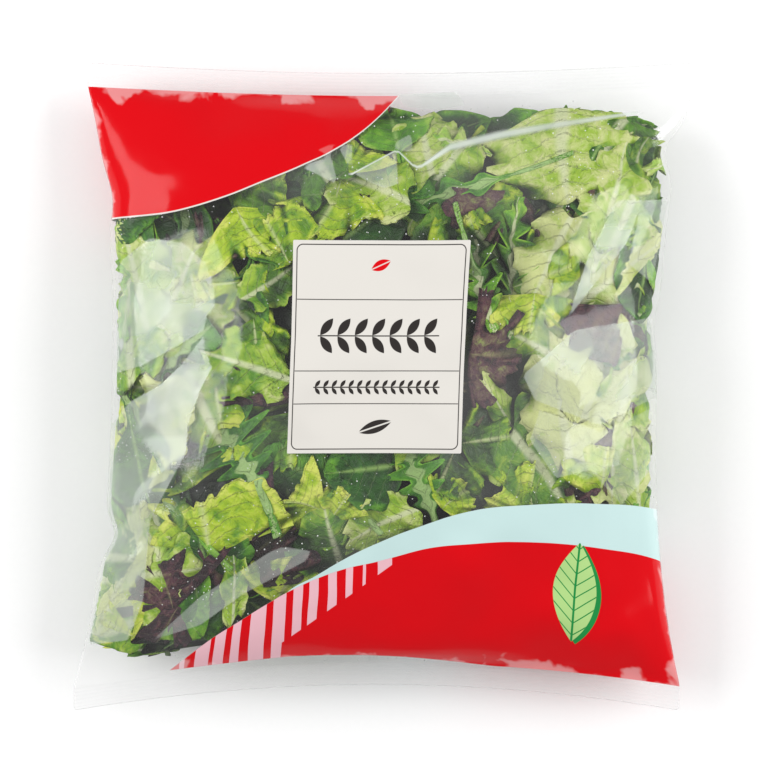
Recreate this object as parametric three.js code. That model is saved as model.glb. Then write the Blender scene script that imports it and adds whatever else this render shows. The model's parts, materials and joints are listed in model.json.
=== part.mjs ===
// A sealed pillow bag of mixed salad leaves, lying on its back with the printed front up.
// Millimetres. +X runs across the bag, +Y towards its top seal and +Z up.
// The origin is on the table, under the middle of the bag.
//
// The bag is one tube of clear film, sealed flat at both ends, and it is built as two sheets, front and
// back, that meet in the two side folds and at the cut ends. Each sheet is a plane whose points are moved
// by the same rules: the film narrows at the waist as it fills, swells between the seals, gathers in
// puckers along its rim and lies flat where it rests on the table.
import * as THREE from "three";
import { mergeGeometries, mergeVertices } from "three/addons/utils/BufferGeometryUtils.js";

// The empty bag
const tubeWidth = 240;
const bagLength = 257;
const sealDepth = 11;
const sealThickness = 0.8;
const ribHeight = 0.3;

// The filled bag
const waistWidth = 213;
const sealBow = 8.5;
const crownHeight = 38;
const bellyDepth = 30;
const seamHeight = 26;
const cornerDroop = 8;
const sealDroop = 3;
const lean = 3;

// How sharply the sheets turn down to the side folds and to the seals
const acrossPower = 2.5;
const acrossRoundness = 0.6;
const alongPower = 2.2;
const alongRoundness = 0.7;

// Rows and columns of each sheet
const columns = 46;
const bodyRows = 44;
const sealRows = 6;

// Puckers: short grooves that run in from the side folds and from the seals
const pucker = { depth: [1.2, 2.8], width: [3.5, 6.5], reach: [20, 42], slant: 0.35, startsAfter: 5 };
const sidePuckers = 8;
const endPuckers = 9;
const cornerMargin = 12;
const deepestFold = 12;
const puckerSeed = 20;

// Kinks where a side fold is pushed in. side is -1 for the left, and at and length are along Y.
const kinks = [
  { side: -1, at: -58, depth: 5, length: 7 },
  { side: -1, at: 74, depth: 2.5, length: 10 },
  { side: 1, at: 92, depth: 6, length: 8 },
  { side: 1, at: 24, depth: 2, length: 9 },
];

// Creases stand up from the front sheet in ridges, drawn through points [x, y].
const creaseHeight = 2.2;
const creaseWidth = 4;
const creases = [
  [[-14, 80], [6, 92], [14, 86], [42, 92], [98, 106]],
  [[-14, 80], [-26, 103]],
  [[-90, 22], [-52, 30], [-56, 6], [-72, -40]],
  [[64, 40], [84, 34], [104, 62]],
  [[78, 34], [82, 8], [70, -20]],
];

const halfTube = tubeWidth / 2;
const halfLength = bagLength / 2;
const rows = bodyRows + 2 * sealRows;

// Repeatable random numbers from 0 to 1
function randomSource(seed) {
  let state = seed;
  return () => {
    state = (state * 16807) % 2147483647;
    return state / 2147483647;
  };
}

function between([low, high], share) {
  return low + (high - low) * share;
}

// Puckers spread evenly along an edge from -span to span, each a little out of place.
function spreadPuckers(count, span, random) {
  return Array.from({ length: count }, (_, k) => ({
    at: span * (((k + 0.15 + 0.7 * random()) / count) * 2 - 1),
    depth: between(pucker.depth, random()),
    width: between(pucker.width, random()),
    reach: between(pucker.reach, random()),
    slant: pucker.slant * (2 * random() - 1),
  }));
}

// How deep the puckers of one edge are, at a point that far along it and that far in from it.
function puckerDepth(puckers, along, inward) {
  const start = Math.min(1, Math.max(0, inward) / pucker.startsAfter);
  return puckers.reduce((sum, p) => {
    const off = (along - p.at - p.slant * inward) / p.width;
    return sum + p.depth * start * Math.exp(-off * off) * Math.max(0, 1 - inward / p.reach);
  }, 0);
}

const random = randomSource(puckerSeed);
const edgePuckers = {};
for (const edge of ["left", "right"]) {
  edgePuckers[edge] = spreadPuckers(sidePuckers, halfLength - sealDepth - cornerMargin, random);
}
for (const edge of ["bottom", "top"]) {
  edgePuckers[edge] = spreadPuckers(endPuckers, halfTube - cornerMargin, random);
}

// Half the width of the bag at a share from -1 to 1 of the way along it.
function halfWidth(along) {
  const waist = waistWidth / 2;
  return waist + (halfTube - waist) * Math.abs(along) ** 2.4;
}

// How far from the middle a seal begins, at a share from -1 to 1 of the way across.
function sealLine(across) {
  return halfLength - sealDepth - sealBow * (1 - across * across);
}

function kinkDepth(side, y) {
  return kinks
    .filter((k) => k.side === side)
    .reduce((sum, k) => sum + k.depth * Math.exp(-(((y - k.at) / k.length) ** 2)), 0);
}

function distanceToSegment(x, y, [ax, ay], [bx, by]) {
  const [dx, dy] = [bx - ax, by - ay];
  const share = THREE.MathUtils.clamp(((x - ax) * dx + (y - ay) * dy) / (dx * dx + dy * dy), 0, 1);
  return Math.hypot(x - ax - share * dx, y - ay - share * dy);
}

function creaseRise(x, y) {
  const distances = creases.flatMap((points) =>
    points.slice(1).map((end, k) => distanceToSegment(x, y, points[k], end)),
  );
  return creaseHeight * Math.exp(-((Math.min(...distances) / creaseWidth) ** 2));
}

// Where the row of points lies along the bag: {along} from -1 to 1 within the filled part, and
// {sealed} from 0 to 1 within a seal.
function rowPlace(row) {
  const fromEnd = Math.min(row, rows - row);
  const end = row < rows / 2 ? -1 : 1;
  if (fromEnd <= sealRows) return { along: end, end, sealed: 1 - fromEnd / sealRows };
  return { along: ((row - sealRows) / bodyRows) * 2 - 1, end, sealed: 0 };
}

// The columns lie closer together towards the side folds, where the film turns.
function columnPlace(column) {
  const even = (column / columns) * 2 - 1;
  return 0.65 * even + 0.35 * Math.sin((even * Math.PI) / 2);
}

// A point of the front (side 1) or back (side -1) sheet.
function sheetPoint(column, row, side) {
  const across = columnPlace(column);
  const { along, end, sealed } = rowPlace(row);
  const y = along * sealLine(across) + end * sealed * sealDepth;
  const fold = Math.sign(across) || 1;
  const half = halfWidth(along);
  const x = across * half - fold * kinkDepth(fold, y) * Math.abs(across) ** 6;

  const swell =
    Math.max(0, 1 - Math.abs(across) ** acrossPower) ** acrossRoundness *
    Math.max(0, 1 - Math.abs(along) ** alongPower) ** alongRoundness;
  const cornered = Math.abs(across * along) ** 3;
  const seam = seamHeight - cornerDroop * cornered - sealDroop * sealed ** 2;

  const onRim = column === 0 || column === columns || row === 0 || row === rows;
  const rib = row % 2 ? ribHeight / 2 : 0;
  const flat = onRim ? 0 : sealThickness / 2 + (sealed > 0 ? rib : 0);
  const folds =
    sealed > 0
      ? 0
      : puckerDepth(across < 0 ? edgePuckers.left : edgePuckers.right, y, half - Math.abs(x)) +
        puckerDepth(end < 0 ? edgePuckers.bottom : edgePuckers.top, x, sealLine(across) - Math.abs(y));
  const creased = side > 0 ? creaseRise(x, y) * Math.min(1, swell * 2) : 0;
  const fullDepth = side > 0 ? crownHeight : bellyDepth;
  const swollen = fullDepth * swell - Math.min(folds, deepestFold * swell);
  const z = Math.max(0, seam + side * (flat + swollen) + creased);
  return new THREE.Vector3(x + lean * (y / halfLength), y, z);
}

function sheet(side) {
  const plane = new THREE.PlaneGeometry(tubeWidth, bagLength, columns, rows);
  plane.deleteAttribute("normal");
  plane.deleteAttribute("uv");
  const position = plane.getAttribute("position");
  for (let k = 0; k < position.count; k++) {
    const column = k % (columns + 1);
    const row = rows - Math.floor(k / (columns + 1));
    const point = sheetPoint(column, row, side);
    position.setXYZ(k, point.x, point.y, point.z);
  }
  if (side < 0) plane.index.array.reverse();
  return plane;
}

// The two sheets joined along their common rim into one closed solid.
function filledBag() {
  const joined = mergeVertices(mergeGeometries([sheet(1), sheet(-1)]), 1e-3);
  joined.computeVertexNormals();
  return joined;
}

const film = new THREE.MeshStandardMaterial({ color: 0x8aa957, roughness: 0.2, metalness: 0 });
film.name = "clear film over salad leaves";

const bag = new THREE.Mesh(filledBag(), film);
bag.name = "salad_bag";

const salad = new THREE.Group();
salad.add(bag);

export default salad;
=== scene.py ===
# A sealed pillow bag of clear printed film, filled with mixed salad leaves and lying on its back.
# Metres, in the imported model's frame: +X across the bag, +Y to its top seal, +Z up.
# The empty bag is a flat tube. Places on its film are named by where they lie on that flat tube:
# across from the middle of the front, and along from the middle of the bag.
import json
import math

import bpy
import mathutils
import numpy as np
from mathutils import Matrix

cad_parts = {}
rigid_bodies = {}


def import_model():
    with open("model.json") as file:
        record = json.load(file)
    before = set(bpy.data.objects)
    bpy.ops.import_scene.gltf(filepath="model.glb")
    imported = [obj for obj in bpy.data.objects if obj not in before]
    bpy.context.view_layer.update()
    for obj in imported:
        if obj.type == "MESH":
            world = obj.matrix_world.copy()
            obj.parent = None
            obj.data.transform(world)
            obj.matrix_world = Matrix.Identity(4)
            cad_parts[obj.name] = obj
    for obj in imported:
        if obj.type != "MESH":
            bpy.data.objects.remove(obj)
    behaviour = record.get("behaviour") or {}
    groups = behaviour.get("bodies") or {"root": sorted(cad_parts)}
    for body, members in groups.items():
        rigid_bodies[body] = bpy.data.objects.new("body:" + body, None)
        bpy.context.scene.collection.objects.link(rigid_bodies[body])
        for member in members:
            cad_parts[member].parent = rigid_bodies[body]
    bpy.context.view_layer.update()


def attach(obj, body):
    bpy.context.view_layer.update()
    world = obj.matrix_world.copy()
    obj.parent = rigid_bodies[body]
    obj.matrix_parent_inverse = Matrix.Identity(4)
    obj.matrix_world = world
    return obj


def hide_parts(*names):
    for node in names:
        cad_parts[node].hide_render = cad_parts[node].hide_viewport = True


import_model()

BAG_NODE = "salad_bag"
MM = 0.001
HAIR = 0.01 * MM
WHITE = (1, 1, 1, 1)

# The empty bag
TUBE_WIDTH = 240 * MM
BAG_LENGTH = 257 * MM
SEAL_DEPTH = 11 * MM
SEAL_GAP = 0.3 * MM
HALF_TUBE = TUBE_WIDTH / 2
HALF_LENGTH = BAG_LENGTH / 2
SEAL_LINE = HALF_LENGTH - SEAL_DEPTH

# The filled bag, close to the solid that it replaces. Kinks are side, place, depth and length.
WAIST_IN = 14 * MM
SEAL_BOW = 8.5 * MM
SEAL_SHIFT = 3 * MM
THICKNESS = 66 * MM
CROWN, BELLY = 38 * MM, 30 * MM
SEAM_HEIGHT = 26 * MM
CORNER_DROOP, SEAL_DROOP = 8 * MM, 3 * MM
LEAN = 3 * MM
SOFT_REST = 1.5 * MM
KINKS = [(-1, -58 * MM, 5 * MM, 7 * MM), (-1, 74 * MM, 2.5 * MM, 10 * MM),
         (1, 92 * MM, 6 * MM, 8 * MM), (1, 24 * MM, 2 * MM, 9 * MM)]
VOLUME = 1.7e-3

# How the film bends, stretches and is blown up in the simulation
CLOTH = {"quality": 6, "mass": 0.1, "air_damping": 2.0, "tension_stiffness": 300,
         "compression_stiffness": 300, "shear_stiffness": 100, "bending_stiffness": 0.5,
         "tension_damping": 10, "compression_damping": 10, "shear_damping": 10, "bending_damping": 1.0,
         "use_pressure": True, "uniform_pressure_force": 0, "use_pressure_volume": True,
         "pressure_factor": 2.5}

# Creases that stand up from the front, each with its height, as paths seen from above in millimetres
CREASE_WIDTH = 3.0 * MM
CREASES = [(2.2, [(-31, 84), (-15.5, 81), (1.5, 89), (9, 83.5), (27, 91.5), (58, 98), (94, 103)]),
           (1.8, [(-15.5, 81), (-26, 103)]), (0.6, [(-90, 22), (-52, 30), (-56, 6), (-72, -40)]),
           (0.6, [(64, 40), (84, 34), (104, 62)]), (0.6, [(78, 34), (82, 8), (70, -20)])]
# Hazy whitening of the film's folds together with painted glare, as columns and rows of the picture:
# facets with their strengths, how far from one its distance is told, and the painted highlight along
# the top crease with its half widths
MILK_AND_GLARE_FACETS = [
    (0.5, [(120, 262), (150, 238), (183, 243), (205, 262), (214, 288), (215, 307), (206, 316), (204, 330),
           (185, 341), (165, 353), (140, 366), (116, 373)]),
    (0.55, [(205, 334), (204, 350), (212, 368), (200, 390), (188, 424), (186, 452), (150, 520), (143, 600),
            (128, 640), (88, 645), (108, 540), (111, 425), (130, 402), (160, 385), (182, 364)]),
    (0.5, [(617, 200), (642, 200), (627, 243), (568, 318), (588, 257)]),
    (0.3, [(643, 200), (668, 200), (652, 283), (628, 263)]),
    (0.46, [(575, 330), (650, 318), (660, 395), (600, 425), (535, 400), (523, 375)]),
    (0.32, [(540, 410), (600, 432), (652, 408), (650, 470), (622, 505), (590, 470), (556, 478),
            (530, 440)]),
    (0.36, [(153, 640), (200, 597), (270, 552), (283, 547), (310, 551), (307, 560), (243, 594),
            (200, 625)]),
    (0.34, [(397, 94), (456, 92), (466, 105), (440, 110), (405, 107)]),
    (0.45, [(354, 173), (396, 150), (398, 184), (385, 188), (369, 182)]),
    (0.5, [(300, 166), (331, 157), (338, 185), (325, 178)]), (0.34, [(338, 146), (352, 144), (352, 172)]),
    (0.4, [(394, 143), (411, 134), (413, 152), (398, 150)]), (0.3, [(318, 150), (334, 143), (330, 157)])]
FACET_REACH = 40.0
CREASE_HIGHLIGHT = [(352, 174, 1.2), (397, 150, 1.2), (415, 167.5, 1.5), (422, 166, 2), (450, 147, 4),
               (500, 135, 4.5), (556, 125, 3.5), (640, 112, 1.5)]
# How many cells of the film give its haze and painted glare their own strength, how many fine dents make
# them and the painted crease highlight uneven, and how many clouds of mist it has
FILM_CELLS, FINE_DENTS, MIST_CLOUDS = 420, 900, 120

# The camera, its sensor in millimetres, and what a pixel of the picture spans at the height of the seals
CAMERA, SENSOR = (0.0, 0.001, 1.2), 36
PICTURE = 768
SCALE_AT_SEAM = 0.389 * MM

# The studio, and how bright its light makes a white surface
LIGHT_LEVEL = 1.18
FLOOR_WIDTH = 8.0
SOFTBOX = {"across": 0.8, "along": 0.15, "up": 0.6, "tilt": 55, "width": 0.6, "power": 6.8}
SKY_LIGHT = 0.5
BOUNCES = {"max_bounces": 5, "diffuse_bounces": 3, "glossy_bounces": 2, "transmission_bounces": 3,
           "transparent_max_bounces": 12}

# Starts of the random draws, for the dents of the film, its painted glare and mist, its leaves and its
# filling
DENT_SEED, GLARE_SEED, LEAF_SEED, FILLING_SEED = 7, 9, 11, 5

# The film's grid
COLUMNS, BODY_ROWS, SEAL_ROWS = 64, 62, 3

# The film's finish: how opaque, metallic and rough it is where it is clear, its tint where it is hazy and
# painted with glare, how strong the painted glare along the print's rim is, and how its ribs are spaced
CLEAR_SHINE, CLEAR_METAL, FILM_ROUGHNESS = 0.04, 0.7, 0.12
CLEAR_IOR, PRINTED_IOR = 1.5, 1.26
MILK_AND_GLARE_TINT = (0.66, 0.72, 0.66, 1)
PRINT_GLARE_STRENGTH = 0.25
RIB_PITCH, BACK_SEAM = 1.5, 10

# The light of a leaf: how far its tone carries, where it starts, and how strongly a painted shade darkens
# its folds and blisters
TONE_REACH, TONE_START, FOLD_SHADE, BLISTER_SHADE = 0.62, 0.13, 0.075, 0.16
LEAF_ROUGHNESS, LEAF_GLOW = 0.34, 0.2
# How deep under the film, in millimetres, the painted shade of the other leaves starts and ends, and its
# colour
SHADE_DEPTHS = (2.3, 8.0)
DEEP_SHADE = (0.006, 0.012, 0.004, 1)

# How far short of the seals the leaves stop, what a leaf that shows is scaled by, how deep it lies for
# each step of its depth, and how far along the bag the others are scattered
LEAVES_STOP = 1 * MM
SEEN_SIZE, SEEN_STEP = 0.94, 1.7
SCATTER_LENGTH = BAG_LENGTH - 38 * MM


# Node trees

class Wire:
    """The output socket of a node, with arithmetic that adds Math nodes to its tree."""

    def __init__(self, nodes, socket):
        self.nodes, self.socket = nodes, socket

    def output(self, name):
        """Another output of the same node."""
        outputs = self.socket.node.outputs
        return Wire(self.nodes, find_socket(outputs, name))

    def maths(self, operation, *values):
        return self.nodes.node("ShaderNodeMath", {"operation": operation}, [self, *values])

    def __add__(self, other):
        return self.maths("ADD", other)

    def __sub__(self, other):
        return self.maths("SUBTRACT", other)

    def __mul__(self, other):
        return self.maths("MULTIPLY", other)

    def __truediv__(self, other):
        return self.maths("DIVIDE", other)

    def __pow__(self, other):
        return self.maths("POWER", other)

    def __mod__(self, other):
        return self.maths("FLOORED_MODULO", other)

    __radd__ = __add__
    __rmul__ = __mul__

    def __rsub__(self, other):
        return self.nodes.node("ShaderNodeMath", {"operation": "SUBTRACT"}, [other, self])

    def __rtruediv__(self, other):
        return self.nodes.node("ShaderNodeMath", {"operation": "DIVIDE"}, [other, self])

    def __abs__(self):
        return self.maths("ABSOLUTE")

    def __gt__(self, other):
        return self.maths("GREATER_THAN", other)

    def least(self, other):
        return self.maths("MINIMUM", other)

    def most(self, other):
        return self.maths("MAXIMUM", other)

    def rise(self, low, high, kind="SMOOTHSTEP"):
        """0 up to low and 1 from high, with a soft step between them."""
        settings = {"interpolation_type": kind, "clamp": True}
        return self.nodes.node("ShaderNodeMapRange", settings, [self, low, high, 0.0, 1.0])

    def settled(self):
        """Grows with the value from 0 towards 1, ever more slowly."""
        return 1 - 1 / self.maths("EXPONENT")


def find_socket(sockets, key):
    if isinstance(key, int):
        return sockets[key]
    fits = [s for s in sockets if s.enabled and key in (s.name, s.identifier)]
    return fits[0]


class Nodes:
    """A node tree with one method that adds any node."""

    def __init__(self, tree):
        self.tree = tree
        tree.nodes.clear()

    def node(self, kind, settings=None, inputs=()):
        """Add a node: its type, its settings, then the values or links of its sockets."""
        made = self.tree.nodes.new(kind)
        for name, value in (settings or {}).items():
            setattr(made, name, value)
        for key, value in inputs.items() if isinstance(inputs, dict) else enumerate(inputs):
            socket = find_socket(made.inputs, key)
            if isinstance(value, Wire):
                self.tree.links.new(value.socket, socket)
            else:
                socket.default_value = value
        shown = [s for s in made.outputs if s.enabled]
        return Wire(self, shown[0]) if shown else None

    def mix(self, factor, first, second):
        """A mix of two colours."""
        return self.node("ShaderNodeMix", {"data_type": "RGBA", "clamp_factor": True},
                         {"Factor_Float": factor, "A_Color": first, "B_Color": second})

    def vector(self, operation, inputs):
        return self.node("ShaderNodeVectorMath", {"operation": operation}, inputs)

    def axes(self, place):
        """A place split into its three numbers, given by the first."""
        return self.node("ShaderNodeSeparateXYZ", None, [place])

    def noise(self, place, scale, detail=2.0, rough=0.5, warp=0.0):
        return self.node("ShaderNodeTexNoise", None,
                         {"Vector": place, "Scale": scale, "Detail": detail, "Roughness": rough,
                          "Distortion": warp})

    def attribute(self, name):
        return self.node("ShaderNodeAttribute", {"attribute_name": name}).output("Fac")

    def object_place(self):
        return self.node("ShaderNodeTexCoord").output("Object")

    def bump(self, height, strength, distance):
        return self.node("ShaderNodeBump", None,
                         {"Height": height, "Strength": strength, "Distance": distance})

    def surface(self, inputs):
        return self.node("ShaderNodeBsdfPrincipled", None, inputs)

    def finish(self, *shaders):
        """End the material in one shader, or in a factor and the two shaders that it mixes."""
        shader = self.node("ShaderNodeMixShader", None, shaders) if len(shaders) > 1 else shaders[0]
        self.node("ShaderNodeOutputMaterial", {"is_active_output": True}, {"Surface": shader})


def colour(red, green, blue):
    """The surface colour that shows as the given one, from 0 to 255, under the studio's light."""
    def linear(value):
        value /= 255
        return value / 12.92 if value <= 0.04045 else ((value + 0.055) / 1.055) ** 2.4
    return tuple(linear(value) / LIGHT_LEVEL for value in (red, green, blue)) + (1.0,)


def new_material(name):
    material = bpy.data.materials.new(name)
    material.use_nodes = True
    return material, Nodes(material.node_tree)


def geometry_tree(name, inputs, output):
    """A new tree of geometry nodes, with the node that gives its named inputs."""
    tree = bpy.data.node_groups.new(name, "GeometryNodeTree")
    for title, kind, value in inputs:
        made = tree.interface.new_socket(title, in_out="INPUT", socket_type=f"NodeSocket{kind}")
        if value is not None:
            made.default_value = value
    tree.interface.new_socket(output, in_out="OUTPUT", socket_type="NodeSocketGeometry")
    nodes = Nodes(tree)
    return tree, nodes, nodes.node("NodeGroupInput")


def grown(base, name, tree, inputs):
    """What a tree of geometry nodes grows from an object, as a plain mesh object."""
    modifier = base.modifiers.new(name, "NODES")
    modifier.node_group = tree
    sockets = {item.name: item.identifier for item in tree.interface.items_tree if item.in_out == "INPUT"}
    for key, value in inputs.items():
        modifier[sockets[key]] = value
    made = bpy.data.objects.new(name, evaluated_mesh(base))
    base.modifiers.clear()
    bpy.context.scene.collection.objects.link(made)
    made.data.shade_smooth()
    return made


# Meshes and objects

def new_object(name, points, faces, uvs=None, uv_name="OFBake"):
    """A smooth mesh object. uvs holds one place for each corner of each face."""
    mesh = bpy.data.meshes.new(name)
    mesh.from_pydata(np.asarray(points).tolist(), [], np.asarray(faces).tolist())
    if uvs is not None:
        layer = mesh.uv_layers.new(name=uv_name)
        layer.data.foreach_set("uv", np.asarray(uvs, dtype=np.float32).ravel())
    mesh.shade_smooth()
    made = bpy.data.objects.new(name, mesh)
    bpy.context.scene.collection.objects.link(made)
    return made


def evaluated_mesh(made):
    """The object's mesh with its modifiers applied."""
    graph = bpy.context.evaluated_depsgraph_get()
    graph.update()
    return bpy.data.meshes.new_from_object(made.evaluated_get(graph), depsgraph=graph,
                                           preserve_all_data_layers=True)


def apply_modifiers(made):
    mesh = evaluated_mesh(made)
    made.modifiers.clear()
    made.data = mesh
    return made


def store(made, name, values):
    """Keep a number or a vector for each point of an object's mesh."""
    kind, key = {"i": ("INT", "value"), "f": ("FLOAT", "value")}[values.dtype.kind]
    if values.ndim == 2:
        kind, key = "FLOAT_VECTOR", "vector"
    values = values.astype(np.int32 if kind == "INT" else np.float32)
    made.data.attributes.new(name, kind, "POINT").data.foreach_set(key, values.ravel())


def quads(numbers):
    """The values of a grid at the corners of its faces, counter-clockwise seen from its front."""
    corners = [numbers[:-1, :-1], numbers[:-1, 1:], numbers[1:, 1:], numbers[1:, :-1]]
    return np.stack(corners, -1).reshape(-1, 4)


# The film: filled by simulation

def flat_film():
    """Where each column and row of the film lies on the flat, empty bag."""
    across = np.linspace(-HALF_TUBE, HALF_TUBE, COLUMNS + 1)
    body = np.linspace(-SEAL_LINE, SEAL_LINE, BODY_ROWS + 1)
    seal = np.linspace(SEAL_LINE, HALF_LENGTH, SEAL_ROWS + 1)[1:]
    return np.meshgrid(across, np.concatenate([-seal[::-1], body, seal]))


def in_seal(along):
    return np.abs(along) > SEAL_LINE - HAIR


def at_fold(across):
    return np.abs(across) > HALF_TUBE - HAIR


def vertex_numbers(across, along, seals_are_one):
    """Vertex numbers of the front and the back sheet, which share the bag's rim."""
    shared = np.zeros(across.shape, bool)
    shared[:, [0, -1]] = True
    shared[[0, -1]] = True
    if seals_are_one:
        shared |= in_seal(along)
    front = np.arange(across.size).reshape(across.shape)
    back = front.copy()
    back[~shared] = across.size + np.arange((~shared).sum())
    return front, back


def pillow(across, along, side):
    """The filled bag by rule, before the simulation draws it into folds."""
    u = across / HALF_TUBE
    v = np.minimum(1, np.abs(along) / SEAL_LINE)
    swell = 1 - v ** 2.4
    x = u * (HALF_TUBE - WAIST_IN * swell)
    y = along * (1 - SEAL_BOW / HALF_LENGTH * (1 - u * u))
    z = side * THICKNESS / 2 * np.maximum(0, 1 - np.abs(u) ** 2.6) ** 0.6 * swell ** 0.7
    return np.stack([x, y, z], -1)


def bumps(across, along, rng, count=90, height=2.2 * MM, size=(7 * MM, 15 * MM)):
    """Dents and lumps that the leaves press into the film."""
    total = np.zeros(across.shape)
    for _ in range(count):
        x = rng.uniform(-0.5, 0.5) * TUBE_WIDTH
        y = rng.uniform(-0.5, 0.5) * BAG_LENGTH
        reach = rng.uniform(*size)
        total += rng.uniform(-1, 1) * np.exp(-((across - x) ** 2 + (along - y) ** 2) / reach ** 2)
    return total * height


def fill_film(across, along):
    """The front and the back sheet of the filled bag, as two grids of points."""
    rng = np.random.default_rng(DENT_SEED)
    front, back = vertex_numbers(across, along, seals_are_one=True)
    sheets = [pillow(across, along, side) for side in (1, -1)]
    free = ~in_seal(along) & ~at_fold(across)
    for sheet in sheets:
        sheet[..., 2] += np.where(free, bumps(across, along, rng), 0)
    count = back.max() + 1
    start, flat = np.zeros((count, 3)), np.zeros((count, 3))
    for numbers, sheet in ((back, sheets[1]), (front, sheets[0])):
        start[numbers] = sheet
        flat[numbers] = np.stack([across, along, np.zeros_like(across)], -1)
    body = slice(SEAL_ROWS, SEAL_ROWS + BODY_ROWS + 1)
    faces = np.concatenate([quads(front), quads(back[body])[:, ::-1]])
    pressed = np.flatnonzero(~in_seal(flat[:, 1]))
    start = inflate(start, flat, faces, pressed)
    return start[front], start[back]


def inflate(start, flat, faces, pressed, scale=10, steps=20):
    """Blow the flat film up to the bag's volume with Blender's cloth, at ten times its size."""
    film = new_object("inflating_film", start * scale, faces)
    film.shape_key_add(name="Basis")
    rest = film.shape_key_add(name="empty")
    rest.data.foreach_set("co", (flat * scale).astype(np.float32).ravel())
    rest.value = 0
    group = film.vertex_groups.new(name="pressed")
    group.add(pressed.tolist(), 1.0, "REPLACE")
    modifier = film.modifiers.new("Cloth", "CLOTH")
    cloth = modifier.settings
    for name, value in CLOTH.items():
        setattr(cloth, name, value)
    cloth.target_volume = VOLUME * scale ** 3
    cloth.vertex_group_pressure = group.name
    cloth.rest_shape_key = rest
    cloth.effector_weights.gravity = 0
    modifier.collision_settings.use_collision = False
    scene = bpy.context.scene
    scene.frame_start, scene.frame_end = 1, steps
    for step in range(1, steps + 1):
        scene.frame_set(step)
    mesh = film.evaluated_get(bpy.context.evaluated_depsgraph_get()).data
    settled = np.empty(len(start) * 3, np.float32)
    mesh.vertices.foreach_get("co", settled)
    scene.frame_set(1)
    bpy.data.objects.remove(film)
    return settled.reshape(-1, 3).astype(float) / scale


def lay_down(sheet, across, along, side):
    """Rest a sheet of the filled bag on the floor, with its side folds kinked and its seals drooping."""
    x, y, z = np.moveaxis(sheet, -1, 0)
    u = across / HALF_TUBE
    v = np.clip(along / SEAL_LINE, -1, 1)
    y = y + SEAL_SHIFT * (1 - u * u) * v * v
    for fold, place, depth, length in KINKS:
        x = x - fold * depth * np.exp(-((y - place) / length) ** 2) * np.clip(fold * u, 0, 1) ** 6
    sealed = np.clip((np.abs(along) - SEAL_LINE) / SEAL_DEPTH, 0, 1)
    z = np.where(z > 0, CROWN, BELLY) * z / (THICKNESS / 2) + SEAM_HEIGHT
    if side > 0:
        ridges = [height * MM * np.exp(-(path_distance(x, y, path) / CREASE_WIDTH) ** 2)
                  for height, path in CREASES]
        for share in (u, v):
            ridges = ridges * np.clip((1 - np.abs(share)) * 6, 0, 1)
        z = z + np.max(ridges, 0)
    z = z - CORNER_DROOP * np.abs(u * v) ** 3 - SEAL_DROOP * sealed ** 2
    z = z + side * np.where(sealed > 0, SEAL_GAP / 2, 0)
    z = (z + np.sqrt(z * z + SOFT_REST * SOFT_REST)) / 2 - SOFT_REST / 4
    return np.stack([x + LEAN * y / HALF_LENGTH, y, np.maximum(z, 0)], -1)


def path_distance(x, y, path):
    """How far places in metres are from a path in millimetres."""
    nearest = np.full(np.shape(x), np.inf)
    for start, end in zip(path, path[1:]):
        (ax, ay), (bx, by) = np.array(start) * MM, np.array(end) * MM
        dx, dy = bx - ax, by - ay
        share = np.clip(((x - ax) * dx + (y - ay) * dy) / (dx * dx + dy * dy), 0, 1)
        nearest = np.minimum(nearest, np.hypot(x - ax - share * dx, y - ay - share * dy))
    return nearest


def inward_ways(across, along, sheets):
    """From each point of both sheets to the heart of the bag that it faces."""
    u = across / HALF_TUBE
    v = along / SEAL_LINE
    heart = (sheets[0] + sheets[1]) / 2
    heart[..., 0] *= 1 - 0.22 * np.abs(u) ** 3
    heart[..., 1] *= 1 - 0.12 * np.abs(v) ** 3
    return [np.where(in_seal(along)[..., None], 0, heart - sheet) for sheet in sheets]


def film_object(across, along, sheets, ways):
    """The closed film, with a UV map that unrolls the tube from its back seam, and with the way
    inwards stored on it."""
    front, back = vertex_numbers(across, along, seals_are_one=False)
    points, inward = np.zeros((2, back.max() + 1, 3))
    for values, found in ((points, sheets), (inward, ways)):
        values[back] = found[1]
        values[front] = found[0]
        rim = front == back
        values[front[rim]] = (found[0][rim] + found[1][rim]) / 2
    middle = COLUMNS // 2
    height = along / BAG_LENGTH + 0.5
    faces, uvs = [quads(front)], [unrolled(across, height)]
    for columns, offset in ((slice(0, middle + 1), -TUBE_WIDTH), (slice(middle, None), TUBE_WIDTH)):
        faces.append(quads(back[:, columns])[:, ::-1])
        uvs.append(unrolled(offset - across[:, columns], height[:, columns])[:, ::-1])
    film = new_object("bag_film", points, np.concatenate(faces), np.concatenate(uvs))
    store(film, "inward", inward)
    smooth = film.modifiers.new("Smooth", "SUBSURF")
    smooth.levels = smooth.render_levels = 1
    apply_modifiers(film)
    place = np.empty(len(film.data.vertices) * 3, np.float32)
    film.data.vertices.foreach_get("co", place)
    # Its hazy whitening and painted glare, its painted crease highlight and its mist, kept on its points.
    shown = glare(place.reshape(-1, 3).astype(float))
    for name, values in zip(("facet", "milk", "line", "lit", "mist"), shown):
        store(film, name, values)
    return film


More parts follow.
